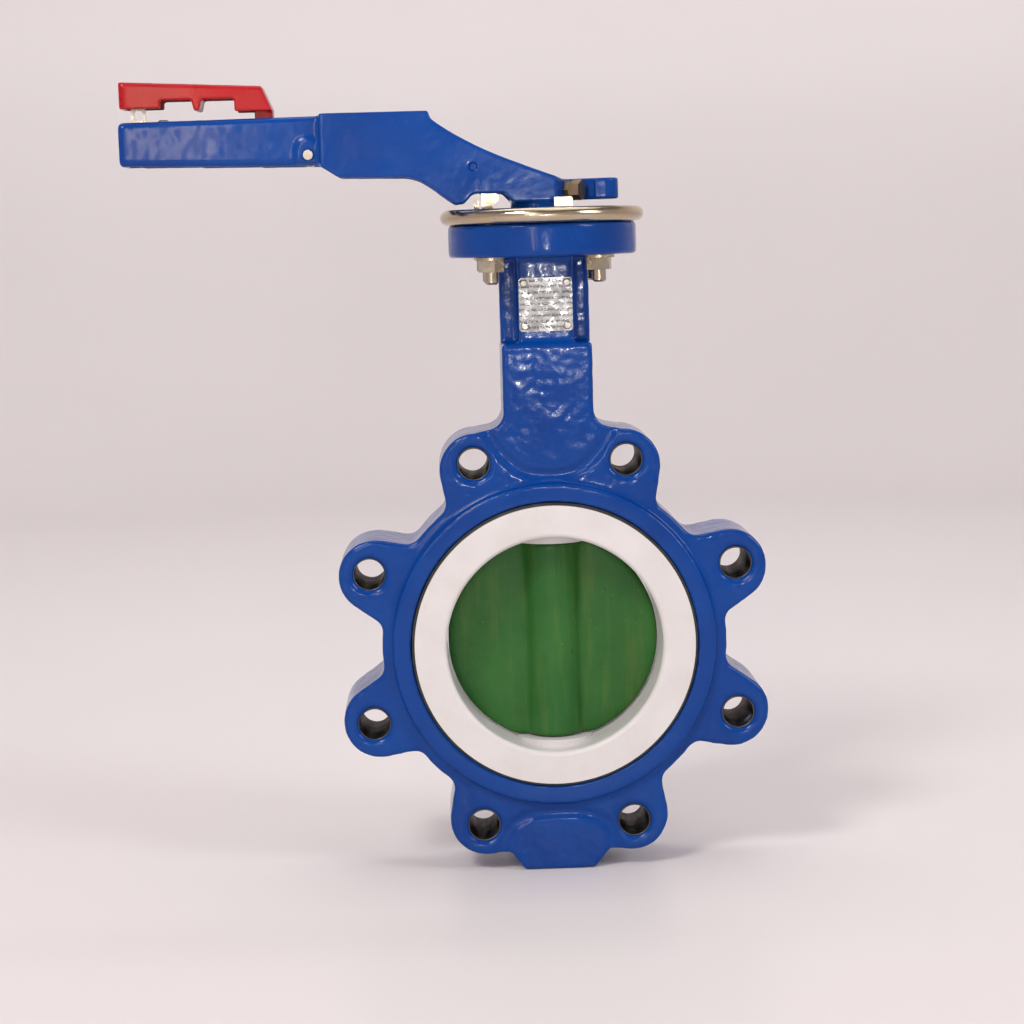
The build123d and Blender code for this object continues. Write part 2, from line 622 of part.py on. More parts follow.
def make_plate_bolts():
    washer_top = flange_floor
    nut_top = washer_top - M6_WASHER_THICKNESS
    nut_floor = nut_top - M6_NUT_HEIGHT
    corners = PolarLocations(PLATE_BOLT_CIRCLE / 2, PLATE_BOLT_COUNT, start_angle=45)
    with BuildPart() as plate_bolts:
        with BuildSketch(Plane.XY.offset(plate_top)):
            with corners:
                RegularPolygon(M6_HEAD_FLATS / 2, 6, major_radius=False)
        extrude(amount=M6_HEAD_HEIGHT)
        with BuildSketch(Plane.XY.offset(nut_floor - M6_THREAD_BEYOND_NUT)):
            with corners:
                Circle(M6_RADIUS)
        extrude(amount=plate_top - nut_floor + M6_THREAD_BEYOND_NUT)
        chamfer(plate_bolts.faces().group_by(Axis.Z)[0].edges(), length=EDGE_BREAK)
    plate_bolts.part.label = "plate_bolts"
    export_step(plate_bolts.part, "parts/plate_bolts.step")

    with BuildPart() as plate_nuts:
        with BuildSketch(Plane.XY.offset(nut_floor)):
            with corners:
                RegularPolygon(M6_HEAD_FLATS / 2, 6, major_radius=False)
                Circle(M6_RADIUS + FIT, mode=Mode.SUBTRACT)
        extrude(amount=M6_NUT_HEIGHT)
    plate_nuts.part.label = "plate_nuts"
    export_step(plate_nuts.part, "parts/plate_nuts.step")

    with BuildPart() as plate_washers:
        with BuildSketch(Plane.XY.offset(nut_top)):
            with corners:
                Circle(M6_WASHER_RADIUS)
                Circle(M6_RADIUS + M6_CLEARANCE, mode=Mode.SUBTRACT)
        extrude(amount=M6_WASHER_THICKNESS)
    plate_washers.part.label = "plate_washers"
    export_step(plate_washers.part, "parts/plate_washers.step")


def make_tag_plate():
    tag_face = Plane.XZ.offset(NECK_BOSS_DEPTH / 2)
    with BuildPart() as tag_plate:
        with BuildSketch(tag_face):
            with Locations((0, TAG_HEIGHT)):
                RectangleRounded(TAG_SIZE, TAG_SIZE, TAG_CORNER_RADIUS)
                with GridLocations(tag_pitch, tag_pitch, 2, 2):
                    Circle(TAG_RIVET_RADIUS, mode=Mode.SUBTRACT)
        extrude(amount=TAG_THICKNESS)
    tag_plate.part.label = "tag_plate"
    export_step(tag_plate.part, "parts/tag_plate.step")

    with BuildPart() as tag_rivets:
        with BuildSketch(tag_face.offset(TAG_THICKNESS)):
            with Locations((0, TAG_HEIGHT)):
                with GridLocations(tag_pitch, tag_pitch, 2, 2):
                    Circle(TAG_RIVET_HEAD_RADIUS)
        extrude(amount=TAG_RIVET_HEAD)
        fillet(tag_rivets.faces().group_by(Axis.Y)[0].edges(), radius=TAG_RIVET_HEAD - FIT)
        with BuildSketch(tag_face.offset(-TAG_RIVET_DEPTH + FIT)):
            with Locations((0, TAG_HEIGHT)):
                with GridLocations(tag_pitch, tag_pitch, 2, 2):
                    Circle(TAG_RIVET_RADIUS - RUNNING_FIT)
        extrude(amount=TAG_RIVET_DEPTH - FIT + TAG_THICKNESS)
    tag_rivets.part.label = "tag_rivets"
    export_step(tag_rivets.part, "parts/tag_rivets.step")


def above_flange(points):
    """Turn points given as x and height above the flange into x and z."""
    return [(x, FLANGE_TOP + height) for x, height in points]


def make_lever():
    slope = above_flange(LEVER_SLOPE)
    belly = above_flange(LEVER_BELLY)
    inner_slope = [(x, z - LEVER_WALL * 1.2) for x, z in slope[:-1]]
    handle_inner = handle_half - LEVER_WALL
    cheek_inner = cheek_half - LEVER_WALL
    root_floor = handle_floor - HANDLE_DEEPENING
    boss_z = pivot_z + PIVOT_BOSS_RISE
    with BuildPart() as lever:
        side_plate([(-LEVER_REACH, handle_floor), (-LEVER_REACH, handle_top - HANDLE_DROP),
                    (-CHEEK_START, handle_top), (-CHEEK_END, handle_top),
                    (-CHEEK_END, root_floor), (-CHEEK_START, root_floor)], handle_half)
        fillet(lever.edges().filter_by(
            lambda e: abs(e.center().Y) > handle_inner and e.length > CHEEK_END / 2), radius=LEVER_WALL)
        fillet(lever.faces().sort_by(Axis.X)[0].edges(), radius=HANDLE_END_ROUND)
        with BuildSketch(Plane.XZ):
            with BuildLine():
                Polyline((-CHEEK_START, root_floor), (-CHEEK_START, cheek_top),
                         (-CHEEK_END, cheek_top), slope[0])
                Spline(*slope)
                Polyline(slope[-1], (slope[-1][0], lever_floor), (belly[-1][0], lever_floor), belly[-1])
                Spline(*reversed(belly))
                Polyline(belly[0], (CHEEK_CORNER - CHEEK_START, cheek_floor), (-CHEEK_START, root_floor))
            make_face()
        extrude(amount=cheek_half, both=True)
        # Hub boss round the stem and the tongue beyond it
        post(HUB_RADIUS, hub_floor, hub_top)
        with BuildSketch(Plane.XY.offset(FLANGE_TOP + TONGUE_FLOOR)):
            with Locations((TONGUE_REACH / 2, 0)):
                RectangleRounded(TONGUE_REACH, TONGUE_WIDTH, TONGUE_WIDTH / 3)
        extrude(amount=HUB_TOP - TONGUE_FLOOR)
        # Hollow of the handle and of the deep part, open underneath
        side_plate(
            [(-LEVER_REACH + LEVER_WALL, lever_floor), (-LEVER_REACH + LEVER_WALL, handle_top - LEVER_WALL),
             (-CHEEK_END, handle_top - LEVER_WALL), (-CHEEK_END, lever_floor)],
            handle_inner, mode=Mode.SUBTRACT)
        side_plate(
            [(-CHEEK_START + LEVER_WALL, lever_floor), (-CHEEK_START + LEVER_WALL, cheek_top - LEVER_WALL),
             (-CHEEK_END - LEVER_WALL, cheek_top - LEVER_WALL), *inner_slope, (slope[-2][0], lever_floor)],
            cheek_inner, mode=Mode.SUBTRACT)
        # Arch in both walls, which lets them pass over the stop tabs
        side_plate(
            [(ARCH_LEFT, lever_floor), (ARCH_LEFT + ARCH_SLANT, arch_top),
             (ARCH_RIGHT - ARCH_SLANT, arch_top), (ARCH_RIGHT, lever_floor)],
            cheek_half, mode=Mode.SUBTRACT)
        cut_clamp_pocket()
        # Bosses round the pivot, proud of the walls outside and reaching to the latch arm inside
        for side in (-1, 1):
            with BuildSketch(Plane.XZ.offset(side * (ARM_THICKNESS / 2 + FIT))):
                with Locations((PIVOT_X, boss_z)):
                    Circle(PIVOT_BOSS_RADIUS)
                with Locations((PIVOT_X, (boss_z + root_floor + LEVER_WALL / 2) / 2)):
                    Rectangle(2 * PIVOT_BOSS_RADIUS, boss_z - root_floor - LEVER_WALL / 2)
            extrude(amount=side * (handle_half + PIVOT_BOSS_PROUD - ARM_THICKNESS / 2 - FIT))
        cross_pin(PIVOT_X, pivot_z, PIVOT_RADIUS + RUNNING_FIT, handle_half + cheek_half, mode=Mode.SUBTRACT)
        cross_pin(STOP_PIN_X, stop_pin_z, STOP_PIN_RADIUS + RUNNING_FIT, cheek_half, mode=Mode.SUBTRACT)
        # Slots in the handle top for the trigger leg and the padlock eye, and the eye's rivet hole
        with BuildSketch(Plane.XY.offset(handle_top)):
            with Locations(((TRIGGER_LEG_LEFT + TRIGGER_LEG_RIGHT) / 2, 0)):
                Rectangle(TRIGGER_LEG_RIGHT - TRIGGER_LEG_LEFT + 2 * LEG_CLEARANCE,
                          TRIGGER_LEG_WIDTH + LEG_CLEARANCE)
            with Locations((eye_x, 0)):
                Rectangle(EYE_WIDTH + 2 * FIT, EYE_THICKNESS + 2 * FIT)
            with Locations((EYE_RIVET_OFFSET - LEVER_REACH, 0)):
                Circle(EYE_RIVET_RADIUS + RUNNING_FIT)
        extrude(amount=-LEVER_WALL, mode=Mode.SUBTRACT)
        # Square hole on the stem
        with BuildSketch(Plane.XY.offset(hub_floor)):
            Rectangle(STEM_SQUARE + 2 * SQUARE_FIT, STEM_SQUARE + 2 * SQUARE_FIT)
        extrude(amount=CHEEK_TOP, mode=Mode.SUBTRACT)
    lever.part.label = "lever"
    export_step(lever.part, "parts/lever.step")


def cut_clamp_pocket():
    """Cut the flat and pocket beside the hub for the clamp screw's nut and head, and the screw's hole."""
    pocket_width = CLAMP_POCKET + CHEEK_WIDTH
    with BuildSketch(clamp_plane.offset(CLAMP_FACE)) as pocket:
        with Locations(((CHEEK_TOP - CLAMP_POCKET_DEPTH) / 2, pocket_width / 2 - CLAMP_POCKET)):
            Rectangle(CHEEK_TOP + CLAMP_POCKET_DEPTH, pocket_width)
    extrude(pocket.sketch, amount=CLAMP_HEAD_ROOM, mode=Mode.SUBTRACT)
    with BuildSketch(clamp_plane) as hole:
        Circle(M5_RADIUS + RUNNING_FIT)
    extrude(hole.sketch, amount=CLAMP_FACE + 1, mode=Mode.SUBTRACT)


def make_clamp_screw():
    nut_end = CLAMP_FACE + M5_NUT_HEIGHT + RUNNING_FIT
    with BuildPart() as clamp_screw:
        with BuildSketch(clamp_plane.offset(CLAMP_TIP + RUNNING_FIT)):
            Circle(M5_RADIUS)
        extrude(amount=nut_end - CLAMP_TIP - RUNNING_FIT)
        with BuildSketch(clamp_plane.offset(nut_end)):
            RegularPolygon(M5_HEAD_FLATS / 2, 6, major_radius=False)
        extrude(amount=M5_HEAD_HEIGHT)
    clamp_screw.part.label = "clamp_screw"
    export_step(clamp_screw.part, "parts/clamp_screw.step")

    with BuildPart() as clamp_nut:
        with BuildSketch(clamp_plane.offset(CLAMP_FACE + RUNNING_FIT)):
            RegularPolygon(M5_HEAD_FLATS / 2, 6, major_radius=False, rotation=30)
            Circle(M5_RADIUS + RUNNING_FIT, mode=Mode.SUBTRACT)
        extrude(amount=M5_NUT_HEIGHT)
    clamp_nut.part.label = "clamp_nut"
    export_step(clamp_nut.part, "parts/clamp_nut.step")


def make_stem_retainer():
    with BuildPart() as thrust_washer:
        post(THRUST_WASHER_RADIUS, plate_top, ring_groove_z)
        post(STEM_RADIUS + RUNNING_FIT, plate_top, ring_groove_z, mode=Mode.SUBTRACT)
    thrust_washer.part.label = "thrust_washer"
    export_step(thrust_washer.part, "parts/thrust_washer.step")

    clip_floor = ring_groove_z + FIT
    with BuildPart() as stem_circlip:
        post(CIRCLIP_RADIUS, clip_floor, clip_floor + CIRCLIP_THICKNESS)
        post(STEM_RADIUS - CIRCLIP_DEPTH + FIT, clip_floor, clip_floor + CIRCLIP_THICKNESS,
             mode=Mode.SUBTRACT)
        with Locations((CIRCLIP_RADIUS, 0, clip_floor)):
            Box(CIRCLIP_RADIUS, CIRCLIP_MOUTH, CIRCLIP_THICKNESS, align=bottom_up, mode=Mode.SUBTRACT)
    stem_circlip.part.label = "stem_circlip"
    export_step(stem_circlip.part, "parts/stem_circlip.step")


def make_latch_pins():
    with BuildPart() as latch_pivot:
        cross_pin(PIVOT_X, pivot_z, PIVOT_RADIUS, handle_half + PIVOT_BOSS_PROUD)
        for side in (-1, 1):
            with BuildSketch(Plane.XZ.offset(side * (handle_half + PIVOT_BOSS_PROUD))):
                with Locations((PIVOT_X, pivot_z)):
                    Circle(PIVOT_HEAD_RADIUS)
            extrude(amount=side * PIVOT_HEAD, taper=20)
    latch_pivot.part.label = "latch_pivot"
    export_step(latch_pivot.part, "parts/latch_pivot.step")

    with BuildPart() as stop_pin:
        cross_pin(STOP_PIN_X, stop_pin_z, STOP_PIN_RADIUS, cheek_half + FIT)
    stop_pin.part.label = "stop_pin"
    export_step(stop_pin.part, "parts/stop_pin.step")


def make_latch_arm():
    leg_floor = handle_top - TRIGGER_LEG_DEPTH
    arm_left = TRIGGER_LEG_LEFT + FIT
    with BuildPart() as latch_arm:
        with BuildSketch(Plane.XZ):
            Polygon((arm_left, pivot_z - 1), (arm_left, leg_floor + ARM_LAP), (PIVOT_X, leg_floor + ARM_LAP),
                    *reversed(above_flange(ARM_TOP)), *reversed(above_flange(ARM_BOTTOM)), align=None)
            with Locations((PIVOT_X, pivot_z)):
                Circle(ARM_EYE_RADIUS)
                Circle(PIVOT_RADIUS + RUNNING_FIT, mode=Mode.SUBTRACT)
            with Locations(above_flange([PAWL_RIVET])[0]):
                Circle(PAWL_RIVET_RADIUS + RUNNING_FIT, mode=Mode.SUBTRACT)
            with Locations(grip_rivet_at):
                Circle(GRIP_RIVET_RADIUS + RUNNING_FIT, mode=Mode.SUBTRACT)
        extrude(amount=ARM_THICKNESS / 2, both=True)
        # Fork that holds the pawl
        fork_root = PAWL_SHOULDER[0][0] - FIT
        fork_end = ARM_BOTTOM[-1][0]
        side_plate([(fork_root, FLANGE_TOP), (fork_root, cheek_top),
                    (fork_end, cheek_top), (fork_end, FLANGE_TOP)],
                   PAWL_THICKNESS / 2 + FIT, mode=Mode.SUBTRACT)
    latch_arm.part.label = "latch_arm"
    export_step(latch_arm.part, "parts/latch_arm.step")


def make_pawl():
    tip = FLANGE_TOP + PAWL_TIP_GAP
    shoulder = above_flange(PAWL_SHOULDER)
    with BuildPart() as pawl:
        side_plate([*shoulder, (-PAWL_TOOTH_IN, tip), (-PAWL_TOOTH_OUT, tip),
                    (-PAWL_TOOTH_OUT, shoulder[0][1])],
                   PAWL_THICKNESS / 2)
        cross_pin(*above_flange([PAWL_RIVET])[0], PAWL_RIVET_RADIUS + RUNNING_FIT, PAWL_THICKNESS,
                  mode=Mode.SUBTRACT)
    pawl.part.label = "pawl"
    export_step(pawl.part, "parts/pawl.step")

    with BuildPart() as pawl_rivet:
        cross_pin(*above_flange([PAWL_RIVET])[0], PAWL_RIVET_RADIUS, ARM_THICKNESS / 2)
        for side in (-1, 1):
            with BuildSketch(Plane.XZ.offset(side * ARM_THICKNESS / 2)):
                with Locations(above_flange([PAWL_RIVET])[0]):
                    Circle(PAWL_RIVET_RADIUS * 1.5)
            extrude(amount=side * PAWL_RIVET_RADIUS / 2, taper=25)
    pawl_rivet.part.label = "pawl_rivet"
    export_step(pawl_rivet.part, "parts/pawl_rivet.step")


def make_latch_spring():
    arm_top = FLANGE_TOP + max(height for x, height in ARM_TOP)
    low = arm_top + SPRING_WIRE + SPRING_GAP
    high = cheek_top - LEVER_WALL - SPRING_WIRE - SPRING_GAP
    pitch = (high - low) / SPRING_TURNS
    with BuildPart() as latch_spring:
        with BuildLine(Plane.XY.offset(low)) as coil:
            Helix(pitch=pitch, height=high - low, radius=SPRING_RADIUS)
        with BuildSketch(Plane(origin=coil.line @ 0, z_dir=coil.line % 0)):
            Circle(SPRING_WIRE)
        sweep(path=coil.line, is_frenet=True)
    spring = Pos(SPRING_X, 0, 0) * latch_spring.part
    spring.label = "latch_spring"
    export_step(spring, "parts/latch_spring.step")


def make_trigger():
    top_left = FLANGE_TOP + TRIGGER_TOP_LEFT
    top_right = FLANGE_TOP + TRIGGER_TOP_RIGHT
    block_floor = FLANGE_TOP + TRIGGER_BLOCK_FLOOR
    bar_floor = FLANGE_TOP + TRIGGER_BAR_FLOOR
    rib_floor = FLANGE_TOP + TRIGGER_RIB_FLOOR
    heel_floor = FLANGE_TOP + TRIGGER_HEEL_FLOOR
    block_right = trigger_left + TRIGGER_BLOCK_LENGTH
    shoulder_x = TRIGGER_LEG_RIGHT - TRIGGER_SHOULDER
    half = TRIGGER_WIDTH / 2
    wall = TRIGGER_WALL
    rib_left = TRIGGER_RIB_X - TRIGGER_RIB_WIDTH / 2
    rib_right = TRIGGER_RIB_X + TRIGGER_RIB_WIDTH / 2
    leg_floor = handle_top - TRIGGER_LEG_DEPTH
    with BuildPart() as trigger:
        side_plate(
            [(trigger_left, block_floor), (trigger_left, top_left), (shoulder_x, top_right),
             (TRIGGER_LEG_RIGHT + FIT, heel_floor), (TRIGGER_HEEL_X, heel_floor), (TRIGGER_HEEL_X, bar_floor),
             (block_right, bar_floor), (block_right, block_floor)], half)
        fillet(trigger.faces().filter_by(Axis.Y).edges().filter_by(
            lambda e: e.center().Z > bar_floor + wall), radius=wall)
        side_plate(
            [(trigger_left + wall, leg_floor), (trigger_left + wall, top_left - wall),
             (shoulder_x - wall, top_right - wall), (TRIGGER_LEG_RIGHT - wall, heel_floor),
             (TRIGGER_LEG_RIGHT - wall, leg_floor)],
            half - wall, mode=Mode.SUBTRACT)
        side_plate([(TRIGGER_RIB_X - TRIGGER_RIB_TIP / 2, rib_floor), (rib_left, bar_floor),
                    (rib_left, bar_floor + wall), (rib_right, bar_floor + wall), (rib_right, bar_floor),
                    (TRIGGER_RIB_X + TRIGGER_RIB_TIP / 2, rib_floor)], half)
        side_plate([(TRIGGER_LEG_LEFT, leg_floor), (TRIGGER_LEG_LEFT, top_right - wall / 2),
                    (shoulder_x - wall, top_right - wall / 2), (TRIGGER_LEG_RIGHT, heel_floor),
                    (TRIGGER_LEG_RIGHT, leg_floor)], TRIGGER_LEG_WIDTH / 2)
        # Fork that straddles the latch arm
        side_plate([(TRIGGER_LEG_LEFT, leg_floor), (TRIGGER_LEG_LEFT, leg_floor + ARM_LAP + FIT),
                    (TRIGGER_LEG_RIGHT, leg_floor + ARM_LAP + FIT), (TRIGGER_LEG_RIGHT, leg_floor)],
                   ARM_THICKNESS / 2 + FIT, mode=Mode.SUBTRACT)
        cross_pin(*grip_rivet_at, GRIP_RIVET_RADIUS + RUNNING_FIT, half, mode=Mode.SUBTRACT)
    trigger.part.label = "trigger"
    export_step(trigger.part, "parts/trigger.step")

    with BuildPart() as grip_rivet:
        cross_pin(*grip_rivet_at, GRIP_RIVET_RADIUS, TRIGGER_LEG_WIDTH / 2)
    grip_rivet.part.label = "grip_rivet"
    export_step(grip_rivet.part, "parts/grip_rivet.step")


def make_padlock_eye():
    web_floor = handle_top - LEVER_WALL
    foot_top = web_floor - RUNNING_FIT
    foot_floor_z = foot_top - EYE_THICKNESS
    eye_left = eye_x - EYE_WIDTH / 2
    eye_top = handle_top + EYE_HEIGHT
    rivet_x = EYE_RIVET_OFFSET - LEVER_REACH
    with BuildPart() as padlock_eye:
        with BuildSketch(Plane.XZ):
            with Locations((eye_x, eye_top - EYE_WIDTH / 2)):
                Circle(EYE_WIDTH / 2)
            with Locations((eye_x, (foot_floor_z + eye_top - EYE_WIDTH / 2) / 2)):
                Rectangle(EYE_WIDTH, eye_top - EYE_WIDTH / 2 - foot_floor_z)
            with Locations((eye_x, handle_top + EYE_HOLE_HEIGHT)):
                Circle(EYE_HOLE_RADIUS, mode=Mode.SUBTRACT)
        extrude(amount=EYE_THICKNESS / 2, both=True)
        with BuildSketch(Plane.XY.offset(foot_floor_z)):
            with Locations((eye_left + EYE_FOOT_LENGTH / 2, 0)):
                Rectangle(EYE_FOOT_LENGTH, EYE_FOOT_WIDTH)
            with Locations((rivet_x, 0)):
                Circle(EYE_RIVET_RADIUS + RUNNING_FIT, mode=Mode.SUBTRACT)
        extrude(amount=EYE_THICKNESS)
    padlock_eye.part.label = "padlock_eye"
    export_step(padlock_eye.part, "parts/padlock_eye.step")

    head_reach = -rivet_x - EYE_RIVET_HEAD_RADIUS - CHEEK_START
    head_seat = handle_top - HANDLE_DROP * head_reach / (LEVER_REACH - CHEEK_START) + RUNNING_FIT
    with BuildPart() as eye_rivet:
        with Locations((rivet_x, 0, foot_floor_z)):
            Cylinder(EYE_RIVET_RADIUS, head_seat - foot_floor_z, align=bottom_up)
        with Locations((rivet_x, 0, head_seat)):
            Cylinder(EYE_RIVET_HEAD_RADIUS, EYE_RIVET_HEAD, align=bottom_up)
        with Locations((rivet_x, 0, foot_floor_z)):
            Cylinder(EYE_RIVET_HEAD_RADIUS, EYE_RIVET_HEAD, align=top_down)
        fillet(eye_rivet.faces().sort_by(Axis.Z)[-1].edges(), radius=EYE_RIVET_HEAD - FIT)
    eye_rivet.part.label = "eye_rivet"
    export_step(eye_rivet.part, "parts/eye_rivet.step")


os.makedirs("parts", exist_ok=True)
make_body()
make_liner()
make_liner_backing()
make_disc()
make_stems()
make_bushes()
make_gland_bush()
make_bottom_plug()
make_notch_plate()
make_plate_bolts()
make_tag_plate()
make_lever()
make_clamp_screw()
make_stem_retainer()
make_latch_pins()
make_latch_arm()
make_pawl()
make_latch_spring()
make_trigger()
make_padlock_eye()
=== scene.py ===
import math

import bmesh
import bpy
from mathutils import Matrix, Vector, noise


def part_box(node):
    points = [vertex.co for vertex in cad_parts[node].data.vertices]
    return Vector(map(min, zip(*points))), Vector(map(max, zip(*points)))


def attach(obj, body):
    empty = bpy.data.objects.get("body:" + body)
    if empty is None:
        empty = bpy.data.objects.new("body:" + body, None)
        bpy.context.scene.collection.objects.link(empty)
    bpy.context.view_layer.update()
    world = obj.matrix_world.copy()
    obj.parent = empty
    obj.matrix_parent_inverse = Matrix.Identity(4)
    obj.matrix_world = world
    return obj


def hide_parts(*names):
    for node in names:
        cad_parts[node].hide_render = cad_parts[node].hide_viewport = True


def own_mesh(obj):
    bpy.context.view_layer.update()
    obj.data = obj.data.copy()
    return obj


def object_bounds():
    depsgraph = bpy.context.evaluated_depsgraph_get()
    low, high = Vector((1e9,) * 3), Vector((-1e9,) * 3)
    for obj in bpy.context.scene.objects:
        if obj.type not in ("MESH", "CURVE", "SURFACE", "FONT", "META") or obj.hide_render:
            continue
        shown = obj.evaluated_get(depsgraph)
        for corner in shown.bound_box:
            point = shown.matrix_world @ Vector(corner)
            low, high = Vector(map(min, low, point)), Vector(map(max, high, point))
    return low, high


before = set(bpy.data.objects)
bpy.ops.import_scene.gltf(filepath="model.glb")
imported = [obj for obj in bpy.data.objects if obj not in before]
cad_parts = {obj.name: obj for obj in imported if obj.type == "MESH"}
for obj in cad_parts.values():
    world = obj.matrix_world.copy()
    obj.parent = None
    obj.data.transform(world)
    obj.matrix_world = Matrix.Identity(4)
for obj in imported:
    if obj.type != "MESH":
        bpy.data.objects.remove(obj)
cad_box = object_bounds()
MM = 0.001


# ---------------------------------------------------------------- node helpers

class Nodes:
    """Short ways to add and link shader nodes in one material."""

    def __init__(self, name):
        self.mat = bpy.data.materials.new(name)
        self.mat.use_nodes = True
        self.tree = self.mat.node_tree
        self.tree.nodes.clear()
        self.out = self.tree.nodes.new("ShaderNodeOutputMaterial")
        self.bsdf = self.tree.nodes.new("ShaderNodeBsdfPrincipled")
        self.link(self.bsdf.outputs["BSDF"], self.out.inputs["Surface"])
        self.coord = self.tree.nodes.new("ShaderNodeTexCoord").outputs["Object"]

    def link(self, a, b):
        self.tree.links.new(a, b)

    def add(self, kind, **inputs):
        node = self.tree.nodes.new(kind)
        for key, value in inputs.items():
            socket = node.inputs[key.replace("_", " ")]
            if isinstance(value, bpy.types.NodeSocket):
                self.link(value, socket)
            else:
                socket.default_value = value
        return node

    def noise(self, scale, detail=4.0, roughness=0.55, vector=None, distortion=0.0):
        node = self.add("ShaderNodeTexNoise", Vector=vector or self.coord, Scale=scale, Detail=detail,
                        Roughness=roughness, Distortion=distortion)
        return node.outputs["Fac"]

    def ramp(self, fac, low, high, a=0.0, b=1.0):
        node = self.add("ShaderNodeMapRange", Value=fac)
        for key, value in zip(("From Min", "From Max", "To Min", "To Max"), (low, high, a, b)):
            node.inputs[key].default_value = value
        return node.outputs["Result"]

    def mix(self, fac, a, b):
        node = self.tree.nodes.new("ShaderNodeMix")
        node.data_type = "RGBA"
        for index, value in ((0, fac), (6, a), (7, b)):
            if isinstance(value, bpy.types.NodeSocket):
                self.link(value, node.inputs[index])
            else:
                node.inputs[index].default_value = value if index == 0 else (*value, 1.0)
        return node.outputs[2]

    def math(self, operation, a, b=0.0):
        node = self.tree.nodes.new("ShaderNodeMath")
        node.operation = operation
        for index, value in ((0, a), (1, b)):
            if isinstance(value, bpy.types.NodeSocket):
                self.link(value, node.inputs[index])
            else:
                node.inputs[index].default_value = value
        return node.outputs[0]

    def pointiness(self, low, high):
        node = self.tree.nodes.new("ShaderNodeNewGeometry")
        return self.ramp(node.outputs["Pointiness"], low, high)

    def bump(self, *layers):
        """Stack bumps, each (height socket, distance in metres, strength)."""
        normal = None
        for height, distance, strength in layers:
            node = self.add("ShaderNodeBump", Height=height, Distance=distance, Strength=strength)
            if normal is not None:
                self.link(normal, node.inputs["Normal"])
            normal = node.outputs["Normal"]
        self.link(normal, self.bsdf.inputs["Normal"])
        return normal

    def set(self, **values):
        for key, value in values.items():
            socket = self.bsdf.inputs[key.replace("_", " ")]
            if isinstance(value, bpy.types.NodeSocket):
                self.link(value, socket)
            elif isinstance(value, tuple) and len(value) == 3:
                socket.default_value = (*value, 1.0)
            else:
                socket.default_value = value


def enamel(name, base, deep, worn, cast=1.0, rough=0.2):
    """Thick glossy enamel over a casting: orange peel, sagging lumps, faint worn edges."""
    n = Nodes(name)
    lumps = n.noise(95.0, 3.0)
    peel = n.noise(520.0, 3.0, 0.5)
    grit = n.noise(1500.0, 2.0, 0.6)
    cloud = n.ramp(n.noise(26.0, 5.0, 0.6), 0.35, 0.68)
    color = n.mix(cloud, deep, base)
    speck = n.ramp(n.noise(900.0, 2.0, 0.5), 0.66, 0.74)
    color = n.mix(n.math("MULTIPLY", speck, 0.25), color, worn)
    edge = n.math("MULTIPLY", n.pointiness(0.53, 0.60), n.ramp(n.noise(160.0, 5.0), 0.45, 0.62))
    color = n.mix(n.math("MULTIPLY", edge, 0.45), color, worn)
    n.set(Base_Color=color, Metallic=0.0, IOR=1.46, Specular_IOR_Level=0.22)
    n.set(Coat_Weight=0.08, Coat_Roughness=0.07)
    n.set(Roughness=n.ramp(n.noise(60.0, 4.0), 0.3, 0.7, rough * 0.75, rough * 1.4))
    n.bump((lumps, 0.0005 * cast, 0.25), (peel, 0.00012 * cast, 0.35), (grit, 0.00002, 0.25))
    return n.mat


def plated(name, base, tint, rough=0.22, metallic=1.0, scratch=1.0):
    """Zinc or bare steel: cloudy tint, fine scratches, dull patches."""
    n = Nodes(name)
    cloud = n.ramp(n.noise(70.0, 5.0, 0.6, distortion=0.6), 0.35, 0.66)
    color = n.mix(cloud, base, tint)
    grime = n.ramp(n.noise(420.0, 4.0, 0.6), 0.58, 0.72)
    color = n.mix(n.math("MULTIPLY", grime, 0.35), color, tuple(c * 0.45 for c in base))
    stretch = n.add("ShaderNodeMapping", Vector=n.coord)
    stretch.inputs["Scale"].default_value = (1.0, 1.0, 14.0)
    lines = n.noise(380.0, 4.0, 0.65, vector=stretch.outputs["Vector"])
    n.set(Base_Color=color, Metallic=metallic, IOR=1.5)
    n.set(Roughness=n.ramp(n.noise(150.0, 5.0), 0.3, 0.7, rough * 0.7, rough * 1.6))
    n.bump((lines, 0.00012 * scratch, 0.25), (n.noise(240.0, 3.0), 0.0003, 0.22))
    return n.mat


def liner_plastic(name):
    """Off-white soft seat: faint stains, a satin skin."""
    n = Nodes(name)
    cloud = n.ramp(n.noise(38.0, 5.0, 0.6), 0.38, 0.7)
    color = n.mix(cloud, (0.67, 0.65, 0.655), (0.61, 0.585, 0.58))
    dirt = n.ramp(n.noise(240.0, 5.0, 0.65), 0.62, 0.76)
    color = n.mix(n.math("MULTIPLY", dirt, 0.22), color, (0.40, 0.36, 0.33))
    n.set(Base_Color=color, Metallic=0.0, IOR=1.42, Subsurface_Weight=0.12, Subsurface_Scale=0.002)
    n.bsdf.inputs["Subsurface Radius"].default_value = (1.0, 0.8, 0.7)
    n.set(Roughness=n.ramp(n.noise(90.0, 4.0), 0.3, 0.7, 0.28, 0.46))
    n.bump((n.noise(120.0, 3.0), 0.0004, 0.2), (n.noise(900.0, 2.0), 0.00005, 0.2))
    return n.mat


